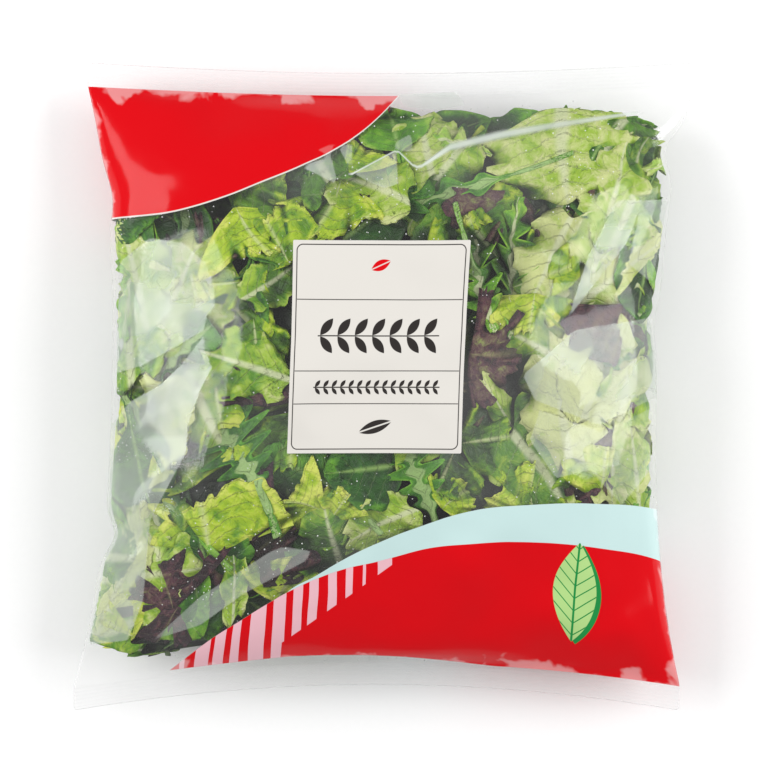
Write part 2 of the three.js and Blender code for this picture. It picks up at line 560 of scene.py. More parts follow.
def glare(place):
    """For places on the film: how far outside the nearest facet of haze and painted glare they lie, in
    pixels of the picture, how strong that haze and painted glare are there, how far they are from the
    painted highlight along the top crease as a share of its half width, how bright that painted highlight
    is, and how misty the film is everywhere."""
    rng = np.random.default_rng(GLARE_SEED)
    column, row = seen_from_camera(place)
    nearest, strength = np.full(len(place), FACET_REACH), np.zeros(len(place))
    for milk, corners in MILK_AND_GLARE_FACETS:
        edges = list(zip(corners, corners[1:] + corners[:1]))
        inner = np.zeros(len(place), bool)
        for (ax, ay), (bx, by) in edges:
            inner ^= ((ay > row) != (by > row)) & (column < ax + (bx - ax) * (row - ay) / (by - ay or 1))
        away = path_distance(column * MM, row * MM, corners + corners[:1]) / MM * np.where(inner, -1, 1)
        strength = np.where(away < nearest, milk, strength)
        nearest = np.minimum(nearest, away)
    middles = rng.uniform((-0.13, -0.13), (0.13, 0.13), (FILM_CELLS, 2))
    cell = ((place[:, None, :2] - middles) ** 2).sum(-1).argmin(1)
    x, y = place[:, :2].T
    fine = np.clip(0.5 + 0.35 * bumps(x, y, rng, FINE_DENTS, 1.0, (3 * MM, 7 * MM)), 0, 1)
    cloud = np.clip(bumps(x, y, rng, MIST_CLOUDS, 1.0, (12 * MM, 24 * MM)), 0, 1)
    uneven = 0.14 + 0.42 * rng.uniform(0, 1, FILM_CELLS)[cell] + 0.48 * fine
    at, middle, half = np.array(CREASE_HIGHLIGHT).T
    line = (row - np.interp(column, at, middle)) / np.interp(column, at, half) * 0.85
    ends = (column > at[0] - 3) & (column < at[-1]) & (place[:, 2] > SEAM_HEIGHT)
    return nearest, strength * uneven, np.clip(line, -9, 9), ends * (0.4 + 0.6 * fine), cloud * 0.04


def seen_from_camera(place):
    """The columns and rows of the picture where the camera sees these places."""
    focal = (CAMERA[2] - SEAM_HEIGHT) / SCALE_AT_SEAM
    away = CAMERA[2] - place[..., 2]
    return (PICTURE / 2 + focal * (place[..., 0] - CAMERA[0]) / away,
            PICTURE / 2 - focal * (place[..., 1] - CAMERA[1]) / away)


def unrolled(across, height):
    """Corner by corner UV places of a grid of the film on the unrolled tube."""
    return np.stack([quads(across / (2 * TUBE_WIDTH) + 0.5), quads(height)], -1)


# The print, in millimetres across and along the unrolled film

AROUND = 2 * TUBE_WIDTH / MM
CURVE_SPAN = 400
RED = colour(227, 0, 15)
PINK = colour(248, 196, 206)
PALE_BLUE = colour(208, 236, 234)
CREAM = colour(233, 229, 222)
INK = colour(52, 48, 46)
LIGHT_GREEN = colour(186, 226, 143)
DARK_GREEN = colour(33, 148, 72)

CORNER_EDGE = [(-240, 56), (-180, 60), (-122.6, 64.9), (-107.1, 66.5), (-89.7, 69), (-68.6, 74.9),
               (-52.5, 81.5), (-35, 88.7), (-23.1, 94.3), (-13.5, 100.4), (-4.9, 108.1), (2.4, 116.6),
               (30, 150), (240, 150)]
BAND_EDGE = [(-240, -150), (-90, -150), (-36.5, -84.1), (-27, -78.9), (-16.2, -72.4), (-0.2, -64.4),
             (14.7, -58.3), (38.3, -50.6), (62.1, -47.7), (92.5, -46.3), (119.3, -48), (180, -70),
             (240, -100)]
SWOOSH_EDGE = [(-240, -150), (-120, -150), (-95, -127), (-81.5, -116.2), (-66.5, -103.6), (-55.7, -96.5),
               (-47.3, -91), (-36.4, -84.5), (-16, -76.3), (0, -72.6), (20.7, -66.8), (38.2, -64.4),
               (55.9, -63.1), (94.4, -64.3), (118.2, -67.9), (180, -98), (240, -130)]
FOOT_END = [(-240, -113.7), (-157, -115.6), (-120, -116.6), (-83, -116), (-5, -113.7), (54.5, -118),
            (119, -118), (185, -118), (240, -113.7)]
PRINT_END = 118.5
LABEL = {"middle": (-3, 15.7), "size": (74.4, 85.6), "shear": 0.016, "border": 3.4, "corner": 2.5,
         "line": 0.22, "rules": (0.225, -0.11, -0.265), "rule": 0.18, "rule_margin": 2.0}
# The label's rows of sprigs: how far up the label each is, as a share of its height, then the pitch, the
# length and the number of its leaves. Its single leaves: how far up, turn, length, width and midrib.
SPRIGS = [(0.055, 7.4, 8.6, 7), (-0.187, 3.6, 3.6, 15)]
FOOT_LEAF, HEAD_LEAF = (-0.375, 18, 15, 5, 0.3), (0.385, 24, 9, 4.2, 0.22)
# The green leaf on the swoosh and its shadow: middle, length and width
MARK, MARK_SHADOW, MARK_TURN = ((80.5, -83), 42, 18), ((82, -84), 42, 19), math.radians(80)
MARK_VEINS = 5.2
# Each stripe's middle and width where it meets the swoosh's edge, and the line that cuts them short
STRIPES = [(-76.6, 2.3), (-68.8, 5.8), (-62.3, 4.2), (-56.5, 3.1), (-48.2, 6.2), (-40, 5), (-33.1, 3.5),
           (-27.1, 3.5), (-19.5, 3.5), (-12.6, 2.7), (-6.4, 1.2), (1.8, 5.8)]
STRIPE_CUT = {"slope": 0.76, "level": -78.1, "from": -38}


def drawn_edge(nodes, across, points):
    """How far along the bag a drawn edge lies at each place across, through the points given."""
    curve = nodes.node("ShaderNodeFloatCurve", None, {"Value": across / AROUND + 0.5})
    mapping = curve.socket.node.mapping
    line = mapping.curves[0]
    placed = [(x / AROUND + 0.5, y / CURVE_SPAN + 0.5) for x, y in points]
    for place in placed[2:]:
        line.points.new(*place)
    for point, place in zip(line.points, placed):
        point.location = place
    mapping.update()
    return (curve - 0.5) * CURVE_SPAN


def inside(distance, blur=0.12):
    """1 where a distance to an edge is negative."""
    return 1 - distance.rise(-blur, blur)


def turned(across, along, middle, angle):
    """Places measured from a middle point, along axes turned by an angle."""
    x, y = across - middle[0], along - middle[1]
    cos, sin = math.cos(angle), math.sin(angle)
    return x * cos + y * sin, y * cos - x * sin


def stripe_mask(nodes, place):
    """1 on the stripes, at places along the swoosh."""
    low, high = STRIPES[0][0] - 12, STRIPES[-1][0] + 12
    ramp = nodes.node("ShaderNodeValToRGB", None, [(place - low) / (high - low)])
    colours = ramp.socket.node.color_ramp
    colours.interpolation = "CONSTANT"
    colours.elements.remove(colours.elements[1])
    for middle, width in STRIPES:
        for edge, level in ((middle - width / 2, 1), (middle + width / 2, 0)):
            colours.elements.new((edge - low) / (high - low)).color = (level, level, level, 1)
    return ramp * 1


def painted_glare_rim(nodes, across, along):
    """A painted glare that makes the print paler beside the seals and the side folds."""
    spread = nodes.node("ShaderNodeCombineXYZ", None, [across, along, 0.0])
    wobble = nodes.noise(spread, 0.06, 3.0, 0.55, 0.4)
    inner = (PRINT_END - abs(along)).least(abs(TUBE_WIDTH / MM / 2 - abs(across)) * 1.2)
    return inside(inner - (wobble - 0.4) * 26, 1.2)


def box_distance(x, y, width, height, corner):
    """Distance to a rectangle with rounded corners."""
    dx = abs(x) - (width / 2 - corner)
    dy = abs(y) - (height / 2 - corner)
    outer = ((dx.most(0) ** 2) + (dy.most(0) ** 2)) ** 0.5
    return outer + dx.most(dy).least(0) - corner


def leaf_distance(x, y, length, width):
    """Roughly the distance to a pointed leaf that lies along x."""
    share = x / (length / 2)
    return abs(y) - (1 - share * share) * (width / 2)


def sprig_distance(x, y, pitch, leaf, length):
    """Roughly the distance to a stem with pairs of leaves along x."""
    side = abs(y)
    step = (x + pitch / 2) % pitch - pitch / 2
    slant_x, slant_y = turned(step, side, (0, leaf * 0.42), math.radians(52))
    leaves = leaf_distance(slant_x, slant_y, leaf, leaf * 0.42)
    return leaves.least(side - 0.25).most(abs(x) - length / 2)


def label_leaf(x, y, level, turn, length, width, midrib):
    """Roughly the distance to a single leaf of the label, which is split along its midrib."""
    leaf_x, leaf_y = turned(x, y, (0, level * LABEL["size"][1]), math.radians(turn))
    return leaf_distance(leaf_x, leaf_y, length, width).most(midrib - abs(leaf_y))


def label_ink(x, y):
    """The label's drawn frame, its rules and its leaf ornaments, as one mask."""
    width, height = LABEL["size"]
    border = LABEL["border"]
    marks = abs(box_distance(x, y, width - border, height - border, LABEL["corner"])) - LABEL["line"]
    for level in LABEL["rules"]:
        rule = abs(y - level * height) - LABEL["rule"]
        marks = marks.least(rule.most(abs(x) - (width / 2 - LABEL["rule_margin"])))
    for level, pitch, leaf, count in SPRIGS:
        marks = marks.least(sprig_distance(x, y - level * height, pitch, leaf, count * pitch))
    return inside(marks.least(label_leaf(x, y, *FOOT_LEAF)), 0.1)


def corner_print(nodes, across, along):
    """The red field that fills the bag's top left corner, with a cream line along its edge."""
    edge = drawn_edge(nodes, across, CORNER_EDGE)
    below_seal = inside(along - PRINT_END)
    return [(inside(edge - along) * below_seal, RED),
            (inside(abs(edge - along) - 0.3) * below_seal, CREAM)]


def foot_print(nodes, across, along):
    """The pale blue band, the red swoosh below it with its stripes, and the green leaf."""
    above_seal = inside(drawn_edge(nodes, across, FOOT_END) - along)
    band = inside(along - drawn_edge(nodes, across, BAND_EDGE)) * above_seal
    swoosh = inside(along - drawn_edge(nodes, across, SWOOSH_EDGE)) * above_seal

    spread = nodes.node("ShaderNodeCombineXYZ", None, [across, along, 0.0])
    wobble = nodes.noise(spread, 0.05, 1.0) - 0.5
    cut = STRIPE_CUT["level"] + across * STRIPE_CUT["slope"]
    stripe = stripe_mask(nodes, across - (cut + 6 - along) * 0.02 + wobble * 1.5)
    kept = inside(cut - along).most(inside(across - STRIPE_CUT["from"]))
    stripes = stripe * kept * swoosh

    leaves = []
    for middle, length, width in (MARK_SHADOW, MARK):
        mark_x, mark_y = turned(across, along, middle, MARK_TURN)
        leaves.append(inside(leaf_distance(mark_x, mark_y, length, width)))
    shadow, mark = leaves
    vein_place = (mark_x - abs(mark_y) * 0.9) % MARK_VEINS - MARK_VEINS / 2
    veins = inside((abs(mark_y) - 0.45).least(abs(vein_place) - 0.3)) * mark
    return [(band, PALE_BLUE), (swoosh, RED), (stripes, PINK), (shadow, DARK_GREEN),
            (mark, LIGHT_GREEN), (veins, DARK_GREEN)]


def label_print(nodes, across, along):
    """The cream label in the middle of the front."""
    y = along - LABEL["middle"][1]
    x = across - LABEL["middle"][0] - y * LABEL["shear"]
    label = inside(box_distance(x, y, *LABEL["size"], 0.6))
    head = inside(label_leaf(x, y, *HEAD_LEAF))
    return [(label, CREAM), (label_ink(x, y) * label, INK), (head * label, RED)]


def film_material(name, print_layers, ribs):
    """Clear glossy film, with what print_layers puts on it, or pressed into ribs across X or Y."""
    material, nodes = new_material(name)
    place = nodes.object_place()
    facing = nodes.node("ShaderNodeLayerWeight", None, {"Blend": 0.35}).output("Facing")
    # Hazy whitening with painted glare in the facets, and a painted highlight along the top crease.
    patch = inside(nodes.attribute("facet"), 0.9) * nodes.attribute("milk")
    line = inside(abs(nodes.attribute("line")) - 0.65, 0.5) * nodes.attribute("lit")
    milk_and_painted_glare = patch.most(line)
    opacity = (CLEAR_SHINE + nodes.attribute("mist") + milk_and_painted_glare + (facing ** 3) * 0.5).least(1)
    milk_and_glare_colour = nodes.mix(milk_and_painted_glare * 3, WHITE, MILK_AND_GLARE_TINT)
    metal = CLEAR_METAL * CLEAR_SHINE / opacity
    shine = {"Base Color": milk_and_glare_colour, "Metallic": metal, "Roughness": FILM_ROUGHNESS, "IOR": CLEAR_IOR}
    if print_layers or ribs:
        axes = nodes.axes(nodes.node("ShaderNodeUVMap", {"uv_map": "OFBake"}))
        across = (axes - 0.5) * AROUND
        along = (axes.output("Y") - 0.5) * (BAG_LENGTH / MM)
    if print_layers:
        shade, printed = milk_and_glare_colour, None
        for mask, tint in print_layers(nodes, across, along):
            shade = nodes.mix(mask, shade, tint)
            printed = printed.most(mask) if printed else mask
        # A painted glare pales the print along its rim and under the glare facets.
        rim = painted_glare_rim(nodes, across, along) * PRINT_GLARE_STRENGTH
        shade = nodes.mix(rim.most(milk_and_painted_glare * 0.4), shade, WHITE)
        shine.update({"Base Color": shade, "Metallic": (1 - printed) * metal, "IOR": PRINTED_IOR})
        opacity = opacity.most(printed)
    relief = nodes.noise(place, 60.0, 1.0)
    if ribs:
        groove = abs(({"X": across, "Y": along}[ribs] / RIB_PITCH) % 1 - 0.5)
        relief = relief + groove * 0.6
        opacity = opacity + 0.02 + groove * 0.1
    shine["Normal"] = nodes.bump(relief, 0.35, 0.6 * MM)
    nodes.finish(opacity, nodes.node("ShaderNodeBsdfTransparent"), nodes.surface(shine))
    return material


def dress_film(film):
    """Give each face of the film the material for the print that it may carry."""
    mesh = film.data
    for name, print_layers, ribs in (
            ("clear_film", None, None), ("film_with_red_corner", corner_print, None),
            ("film_with_swoosh", foot_print, None), ("film_with_label", label_print, None),
            ("sealed_film", None, "Y"), ("back_seam", None, "X")):
        mesh.materials.append(film_material(name, print_layers, ribs))
    spread = np.empty(len(mesh.loops) * 2, np.float32)
    mesh.uv_layers["OFBake"].data.foreach_get("uv", spread)
    corners = spread.reshape(-1, 4, 2) - 0.5
    across = corners[..., 0] * 2 * TUBE_WIDTH / MM
    along = corners[..., 1] * BAG_LENGTH / MM
    spare = 4.0
    # Zones are clear film, the corner, the swoosh, the label, the seals and the back seam, from 0 to 5.
    zone = np.zeros(len(mesh.polygons), np.int32)
    zone[(along > np.interp(across, *zip(*CORNER_EDGE)) - spare).any(1)] = 1
    for edge in (BAND_EDGE, SWOOSH_EDGE):
        zone[(along < np.interp(across, *zip(*edge)) + spare).any(1)] = 2
    reach = [side / 2 + spare for side in LABEL["size"]]
    x, y = across - LABEL["middle"][0], along - LABEL["middle"][1]
    zone[((abs(x) < reach[0]) & (abs(y) < reach[1])).any(1)] = 3
    zone[(abs(along) > SEAL_LINE / MM + 0.5).any(1)] = 4
    zone[(abs(across) > TUBE_WIDTH / MM - BACK_SEAM / 2).all(1) & (zone == 0)] = 5
    mesh.polygons.foreach_set("material_index", zone)


# Leaves. Each form is a grid of points in millimetres, s along the leaf and t across it.

def grid(rows, columns):
    return np.meshgrid(np.linspace(0, 1, rows + 1), np.linspace(-1, 1, columns + 1), indexing="ij")


def crumple(x, y, rng, count=16, height=1.6, size=(4, 9)):
    """Dents and blisters of a leaf's blade, at its places in millimetres."""
    total = np.zeros(x.shape)
    for _ in range(count):
        near_x, near_y = rng.uniform(x.min(), x.max()), rng.uniform(y.min(), y.max())
        reach = rng.uniform(*size)
        total += rng.uniform(-1, 1) * np.exp(-((x - near_x) ** 2 + (y - near_y) ** 2) / reach ** 2)
    return total * height


def romaine_form(rng, rows=20, columns=18):
    """A torn piece of a crisp leaf, with a pale rib, a crumpled blade and a waved edge."""
    s, t = grid(rows, columns)
    length, half = rng.uniform(46, 62), rng.uniform(13, 21)
    phase, lean = rng.uniform(0, 6.28, 6), rng.uniform(-7, 7)
    width = half * np.sin(math.pi * (0.16 + 0.76 * s)) ** 0.6
    edge = np.abs(t) ** 3
    ragged = 0.10 * np.sin(17 * s + phase[0] + 2 * t) + 0.06 * np.sin(41 * s + phase[4] + t)
    x = t * width * (1 + edge * ragged) + lean * s ** 2
    y = length * (s - 0.5) * (1 + 0.10 * np.sin(4 * t + phase[5])) + 3 * t * (1 - s)
    z = edge * (4.2 * np.sin(16 * s + phase[1] + 1.5 * np.sign(t)) + 1.6 * np.sin(37 * s + phase[2]))
    z += 5 * t * t * math.cos(phase[2]) + 3 * np.sin(2.4 * s + phase[3])
    z += crumple(x, y, rng, 22, 2.4)
    rib = np.exp(-(t * width / 1.7) ** 2) * (1 - 0.75 * s)
    return x, y, z, 0.4 + 1.8 * rib


def frilly_form(rng, rows=10, columns=88, size=(20, 28)):
    """A fan of thin leaf that is ruffled and frilled towards its rim."""
    s, t = grid(rows, columns)
    s = s ** 0.75
    radius, spread = rng.uniform(*size), rng.uniform(0.9, 1.5)
    phase = rng.uniform(0, 6.28, 7)
    turn = t * spread
    lobes = 1 + 0.17 * np.sin(2.2 * turn + phase[0]) + 0.08 * np.sin(5.3 * turn + phase[1])
    fold = s ** 2.2
    ruffle = 8 * turn + phase[2] + 0.8 * s
    frill = 27 * turn + phase[3] + 2.6 * np.sin(4 * turn) + 1.5 * s
    uneven = 0.55 + 0.45 * np.sin(3.7 * turn + phase[5])
    scallops = (0.045 * np.sin(frill) + 0.03 * np.sin(1.7 * ruffle) + 0.03 * np.sin(1.63 * frill)) * uneven
    reach = s * lobes * (1 + s ** 6 * scallops)
    turn = turn + fold * 0.035 * np.cos(ruffle) + 0.25 * s * np.sin(phase[6])
    x = 1.15 * radius * reach * np.sin(turn) + 1.2 * t
    y = radius * (reach * np.cos(turn) - 0.5)
    z = fold * (5.2 * np.sin(ruffle) + 2.8 * s * np.sin(frill + 1.2))
    z += s * (3.0 * np.sin(2.2 * t + phase[4]) + crumple(x, y, rng, 12, 2.2))
    return x, y, z, 0.35 + 1.3 * np.exp(-(x / 2.0) ** 2) * (1 - s) ** 2


def rocket_form(rng):
    """A long lobed leaf on a thin stalk."""
    s, t = grid(84, 6)
    length, lobes = rng.uniform(78, 98), rng.integers(3, 5)
    phase = rng.uniform(0, 6.28, 3)
    blade = np.clip((s - 0.36) / 0.64, 0, 1)
    body = np.clip(blade / 0.74, 0, 1)
    lobed = (0.5 - 0.5 * np.cos(2 * math.pi * lobes * body + 0.5 * np.sign(t))) ** 0.8
    side = np.where(body < 1, (3 + 10 * body) * lobed, 0)
    tip = 9.5 * np.sqrt(np.clip(1 - ((blade - 0.84) / 0.16) ** 2, 0, 1))
    width = 0.7 + np.minimum(1, blade * 12) * np.maximum(1.8 * (blade < 0.99), np.maximum(side, tip))
    x = t * width + 5 * np.sin(1.8 * s + phase[0]) - 5 * math.sin(phase[0])
    y = length * (s - 0.6) + 0.3 * np.abs(t) * width
    z = 1.6 * np.sin(9 * s + phase[1]) * (0.3 + t * t) + 2.5 * np.sin(3 * s + phase[2])
    return x, y, z, 0.4 + 1.1 * np.exp(-(t * width / 0.9) ** 2) * (1 - 0.6 * s)


def endive_form(rng):
    """A narrow pale leaf edged with fine spiky lobes."""
    s, t = grid(90, 4)
    length, lobes = rng.uniform(50, 66), rng.integers(6, 9)
    phase = rng.uniform(0, 6.28, 3)
    lobed = np.abs(np.sin(math.pi * lobes * s + 0.6 * np.sign(t))) ** 1.3
    width = 1.6 + (8.5 * np.sin(math.pi * s ** 0.7) * lobed) * (s > 0.1)
    x = t * width + 8 * np.sin(2.4 * s + phase[0])
    y = length * (s - 0.5) + 0.55 * np.abs(t) * width
    z = 3.2 * np.sin(25 * s + phase[1] + 2 * t) * np.abs(t) + 2.5 * np.sin(4 * s + phase[2])
    return x, y, z, 0.4 + 1.2 * np.exp(-(t * width / 1.2) ** 2)


def baby_form(rng):
    """A whole smooth young leaf with a short stalk."""
    s, t = grid(24, 16)
    length, half = rng.uniform(44, 62), rng.uniform(12, 18)
    phase = rng.uniform(0, 6.28, 4)
    blade = np.clip((s - 0.16) / 0.84, 0, 1)
    width = 0.9 + half * np.sin(math.pi * blade ** 0.75) ** 0.85
    x = t * width * (1 + 0.05 * np.sin(23 * s + phase[0])) + 4 * s * s * math.cos(phase[1])
    y = length * (s - 0.5) + 0.12 * np.abs(t) * width
    z = t * t * (1.8 * np.sin(8 * s + phase[2]) + 3 * math.cos(phase[3])) + 2 * np.sin(3 * s + phase[0])
    z += crumple(x, y, rng, 14, 1.8)
    return x, y, z, 0.4 + 1.1 * np.exp(-(t * width / 1.3) ** 2) * (1 - 0.6 * s)


def thin_solid(name, x, y, z, thickness):
    """A closed leaf from its middle surface: two faces cut into triangles alike, joined at the rim."""
    middle = np.stack([x, y, z], -1)
    normal = np.cross(np.gradient(middle, axis=1), np.gradient(middle, axis=0))
    normal /= np.linalg.norm(normal, axis=-1, keepdims=True) + 1e-9
    offset = normal * (thickness / 2)[..., None]
    points = np.concatenate([(middle + offset).reshape(-1, 3), (middle - offset).reshape(-1, 3)]) * MM
    numbers = np.arange(x.size).reshape(x.shape)
    a, b, c, d = quads(numbers).T
    top = np.concatenate([np.stack([a, b, c], -1), np.stack([a, c, d], -1)])
    rim = np.concatenate([numbers[0], numbers[1:, -1], numbers[-1, -2::-1], numbers[-2:0:-1, 0]])
    after = np.roll(rim, -1)
    low, low_after = rim + x.size, after + x.size
    wall = np.concatenate([np.stack([rim, low, low_after], -1), np.stack([rim, low_after, after], -1)])
    faces = np.concatenate([top, top[:, ::-1] + x.size, wall])
    rows, columns = x.shape
    s, t = np.meshgrid(np.linspace(0, 1, rows), np.linspace(0, 1, columns), indexing="ij")
    places = np.tile(np.stack([t, s], -1).reshape(-1, 2), (2, 1))
    return new_object(name, points, faces, places[faces], uv_name="leaf")


# Laying the leaves under the film

def under_film_tree():
    """Geometry nodes that set leaf forms on points of the flat film and drape them under it."""
    tree, nodes, given = geometry_tree("leaves_under_film", [
        ("Points", "Geometry", None), ("Forms", "Collection", None), ("Film", "Object", None),
        ("Material", "Material", None), ("Clearance", "Float", 0.8 * MM), ("Wave", "Float", 2.4 * MM),
        ("Wave Scale", "Float", 42.0), ("Margin", "Float", 11 * MM)], "Leaves")

    def stored(name, kind="FLOAT"):
        return nodes.node("GeometryNodeInputNamedAttribute", {"data_type": kind}, {"Name": name})

    forms = nodes.node("GeometryNodeCollectionInfo", None,
                       {"Collection": given.output("Forms"), "Separate Children": True,
                        "Reset Children": True})
    spin = nodes.node("ShaderNodeCombineXYZ", None, [stored("tip"), stored("roll"), stored("turn")])
    placed = nodes.node("GeometryNodeInstanceOnPoints", None,
                        {"Points": given.output("Points"), "Instance": forms, "Pick Instance": True,
                         "Instance Index": stored("form", "INT"), "Rotation": spin,
                         "Scale": stored("size", "FLOAT_VECTOR")})
    leaves = nodes.node("GeometryNodeRealizeInstances", None, [placed])

    position = nodes.node("GeometryNodeInputPosition")
    axes = nodes.axes(position)
    wave = nodes.node("ShaderNodeTexNoise", {"noise_dimensions": "4D"},
                      {"Vector": position, "W": stored("tone") * 50, "Scale": given.output("Wave Scale"),
                       "Detail": 1.0})
    room, base = given.output("Clearance"), stored("base")
    swing = ((wave - 0.5) * given.output("Wave") * 2 - axes.output("Z") - base).most(base * -0.6)
    depth = room + base + swing

    margin = given.output("Margin")
    along = axes.output("Y")
    to_fold = abs((axes / TUBE_WIDTH + 0.5) % 1 - 0.5) * 2
    inner = (SEAL_LINE - LEAVES_STOP) * (1 - 0.15 * to_fold ** 6) - margin
    over = (abs(along) - inner).most(0)
    held = (abs(along).least(inner) + margin * (over / margin).settled()) * along.maths("SIGN")
    unrolled_place = nodes.node("ShaderNodeCombineXYZ", None,
                                [(axes / (2 * TUBE_WIDTH) + 0.5) % 1, held / BAG_LENGTH + 0.5, 0.0])
    film = nodes.node("GeometryNodeObjectInfo", None, {"Object": given.output("Film")}).output("Geometry")

    def sampled(value):
        return nodes.node("GeometryNodeSampleUVSurface", {"data_type": "FLOAT_VECTOR"},
                          {"Mesh": film, "Value": value, "Source UV Map": stored("OFBake", "FLOAT_VECTOR"),
                           "Sample UV": unrolled_place})

    inward = sampled(stored("inward", "FLOAT_VECTOR"))
    half = nodes.vector("LENGTH", [inward]).output("Value").most(0.1 * MM)
    share = (depth / half).settled()
    moved = nodes.vector("ADD", [sampled(nodes.node("GeometryNodeInputPosition")),
                                 nodes.vector("SCALE", {"Vector": inward, "Scale": share})])
    marked = leaves
    for name, value in (("fold", swing / MM), ("buried", share * half / MM)):
        marked = nodes.node("GeometryNodeStoreNamedAttribute", {"data_type": "FLOAT", "domain": "POINT"},
                            {"Geometry": marked, "Name": name, "Value": value})
    draped = nodes.node("GeometryNodeSetPosition", None, {"Geometry": marked, "Position": moved})
    coated = nodes.node("GeometryNodeSetMaterial", None,
                        {"Geometry": draped, "Material": given.output("Material")})
    nodes.node("NodeGroupOutput", None, [coated])
    return tree


def under_pixel(column, row, across, along, sheet):
    """Where on the flat film lies what this pixel of the picture shows."""
    seen_x, seen_y = seen_from_camera(sheet)
    offsets = np.stack([np.ones_like(seen_x), seen_x - column, seen_y - row], -1).reshape(-1, 3)
    weight = np.exp(-(offsets[:, 1] ** 2 + offsets[:, 2] ** 2) / (4 * 8 ** 2))[:, None]
    flat = np.stack([across.ravel(), along.ravel()], -1)
    return np.linalg.lstsq(offsets * weight, flat * weight, rcond=None)[0][0]


def place_leaves(across, along, front_sheet):
    """The leaves of each kind all round the bag, as rows of numbers."""
    rng = np.random.default_rng(LEAF_SEED)
    placed = {kind: [] for kind in LEAF_KINDS}
    for kind, column, row, turn, wide, long, tone, depth in SEEN_LEAVES:
        x, y = under_pixel(column, row, across, along, front_sheet)
        placed[f"{kind}_leaves"].append((
            x, y, depth * SEEN_STEP * MM, math.radians(turn), wide * SEEN_SIZE, long * SEEN_SIZE, tone,
            rng.integers(FORMS), *rng.uniform(-0.12, 0.12, 2)))
    for depth, dark, start, width, counts in SCATTER:
        wanted = [kind for kind, count in zip(LEAF_KINDS, counts) for _ in range(count)]
        rng.shuffle(wanted)
        columns = max(1, round(math.sqrt(len(wanted) * width * MM / SCATTER_LENGTH)))
        for number, kind in enumerate(wanted):
            u = (number % columns + rng.uniform(0.1, 0.9)) / columns
            v = (number // columns + rng.uniform(0.1, 0.9)) / math.ceil(len(wanted) / columns)
            size = rng.uniform(0.8, 1.15)
            # Each deeper layer's lower tone is a painted shade.
            placed[kind].append((
                (start + u * width) * MM, (v - 0.5) * SCATTER_LENGTH,
                (depth + rng.uniform(-1, 1.5)) * MM, rng.uniform(0, 2 * math.pi), size, size,
                rng.uniform() ** 1.4 * (1 - dark), rng.integers(FORMS), *rng.uniform(-0.18, 0.18, 2)))
    return placed


def lay_leaves(kind, rows, film, tree):
    """All leaves of one kind as one mesh."""
    make_form, material, wave = LEAF_KINDS[kind]
    rng = np.random.default_rng(sum(map(ord, kind)))
    forms = bpy.data.collections.new(f"{kind}_forms")
    bpy.context.scene.collection.children.link(forms)
    for number in range(FORMS):
        form = thin_solid(f"{kind}_{number}", *make_form(rng))
        bpy.context.scene.collection.objects.unlink(form)
        forms.objects.link(form)
    x, y, depth, turn, wide, long, tone, form, tip, roll = np.array(rows).T
    points = new_object(f"{kind}_points", np.stack([x, y, -depth], -1), [])
    for name, values in (("turn", turn), ("tone", tone), ("tip", tip), ("roll", roll), ("base", depth),
                         ("size", np.stack([wide, long, np.sqrt(wide * long)], -1)),
                         ("form", form.astype(int))):
        store(points, name, values)
    made = grown(points, kind, tree,
                 {"Forms": forms, "Film": film, "Material": material, "Wave": wave * MM})
    bpy.data.objects.remove(points)
    for form in list(forms.objects):
        bpy.data.objects.remove(form)
    bpy.data.collections.remove(forms)
    return made


def leaf_material(name, shades, pale, rib, veins, tip=0.2, crinkled=1.5, grain=150.0):
    """A leaf that is coloured through its shades by its own tone, mottling and rim, with a painted shade
    in its folds, blisters and crinkle hollows and painted light on its crinkle ridges, and with pale
    veins. Its parts deeper in the bag get a painted shade of the others."""
    material, nodes = new_material(name)
    leaf = nodes.axes(nodes.node("ShaderNodeUVMap", {"uv_map": "leaf"}))
    out = abs(leaf * 2 - 1)
    up = leaf.output("Y")
    place = nodes.object_place()
    tone, fold, buried = [nodes.attribute(key) for key in ("tone", "fold", "buried")]
    crinkle = nodes.noise(place, grain, 4.0, 0.62, 0.5)
    blister = nodes.node("ShaderNodeTexVoronoi", {"feature": "F1"}, {"Vector": place, "Scale": 210.0})

    rim = (out.most(up) + (crinkle - 0.5) * 0.6).rise(0.7, 1.0)
    # Own tone and mottling, with painted shade from folds and blisters and painted light and shade from
    # crinkles.
    light = tone * TONE_REACH + TONE_START + (crinkle - 0.5) * crinkled - (fold + 0.5) * FOLD_SHADE
    light = light + rim * tip - blister * BLISTER_SHADE
    ground, *lighter = (colour(*shade) for shade in shades)
    for number, shade in enumerate(lighter):
        ground = nodes.mix(light.rise(number / 3, (number + 1) / 3, "LINEAR"), ground, shade)
    branch = (up * veins - out * 1.6 + (crinkle - 0.5) * 0.8) % 1
    vein = inside(abs(branch - 0.5) - 0.03, 0.05) * (1 - out * 0.7)
    ribbed = inside(out - (rib[0] + rib[1] * (1 - up)), 0.06)
    ground = nodes.mix((vein * 0.3).most(ribbed * 0.8), ground, colour(*pale))
    # Painted shade of the leaves over it, by how deep it lies under the film.
    ground = nodes.mix(buried.rise(*SHADE_DEPTHS, "LINEAR") * 0.95, ground, DEEP_SHADE)
    relief = (1 - vein) * 0.3 + crinkle * 1.6 - blister * 0.15
    surface = nodes.surface({
        "Base Color": ground, "Roughness": LEAF_ROUGHNESS + crinkle * 0.3, "IOR": 1.45,
        "Normal": nodes.bump(relief, 1.0, 1.6 * MM)})
    nodes.finish(LEAF_GLOW, surface, nodes.node("ShaderNodeBsdfTranslucent", None, {"Color": ground}))
    return material


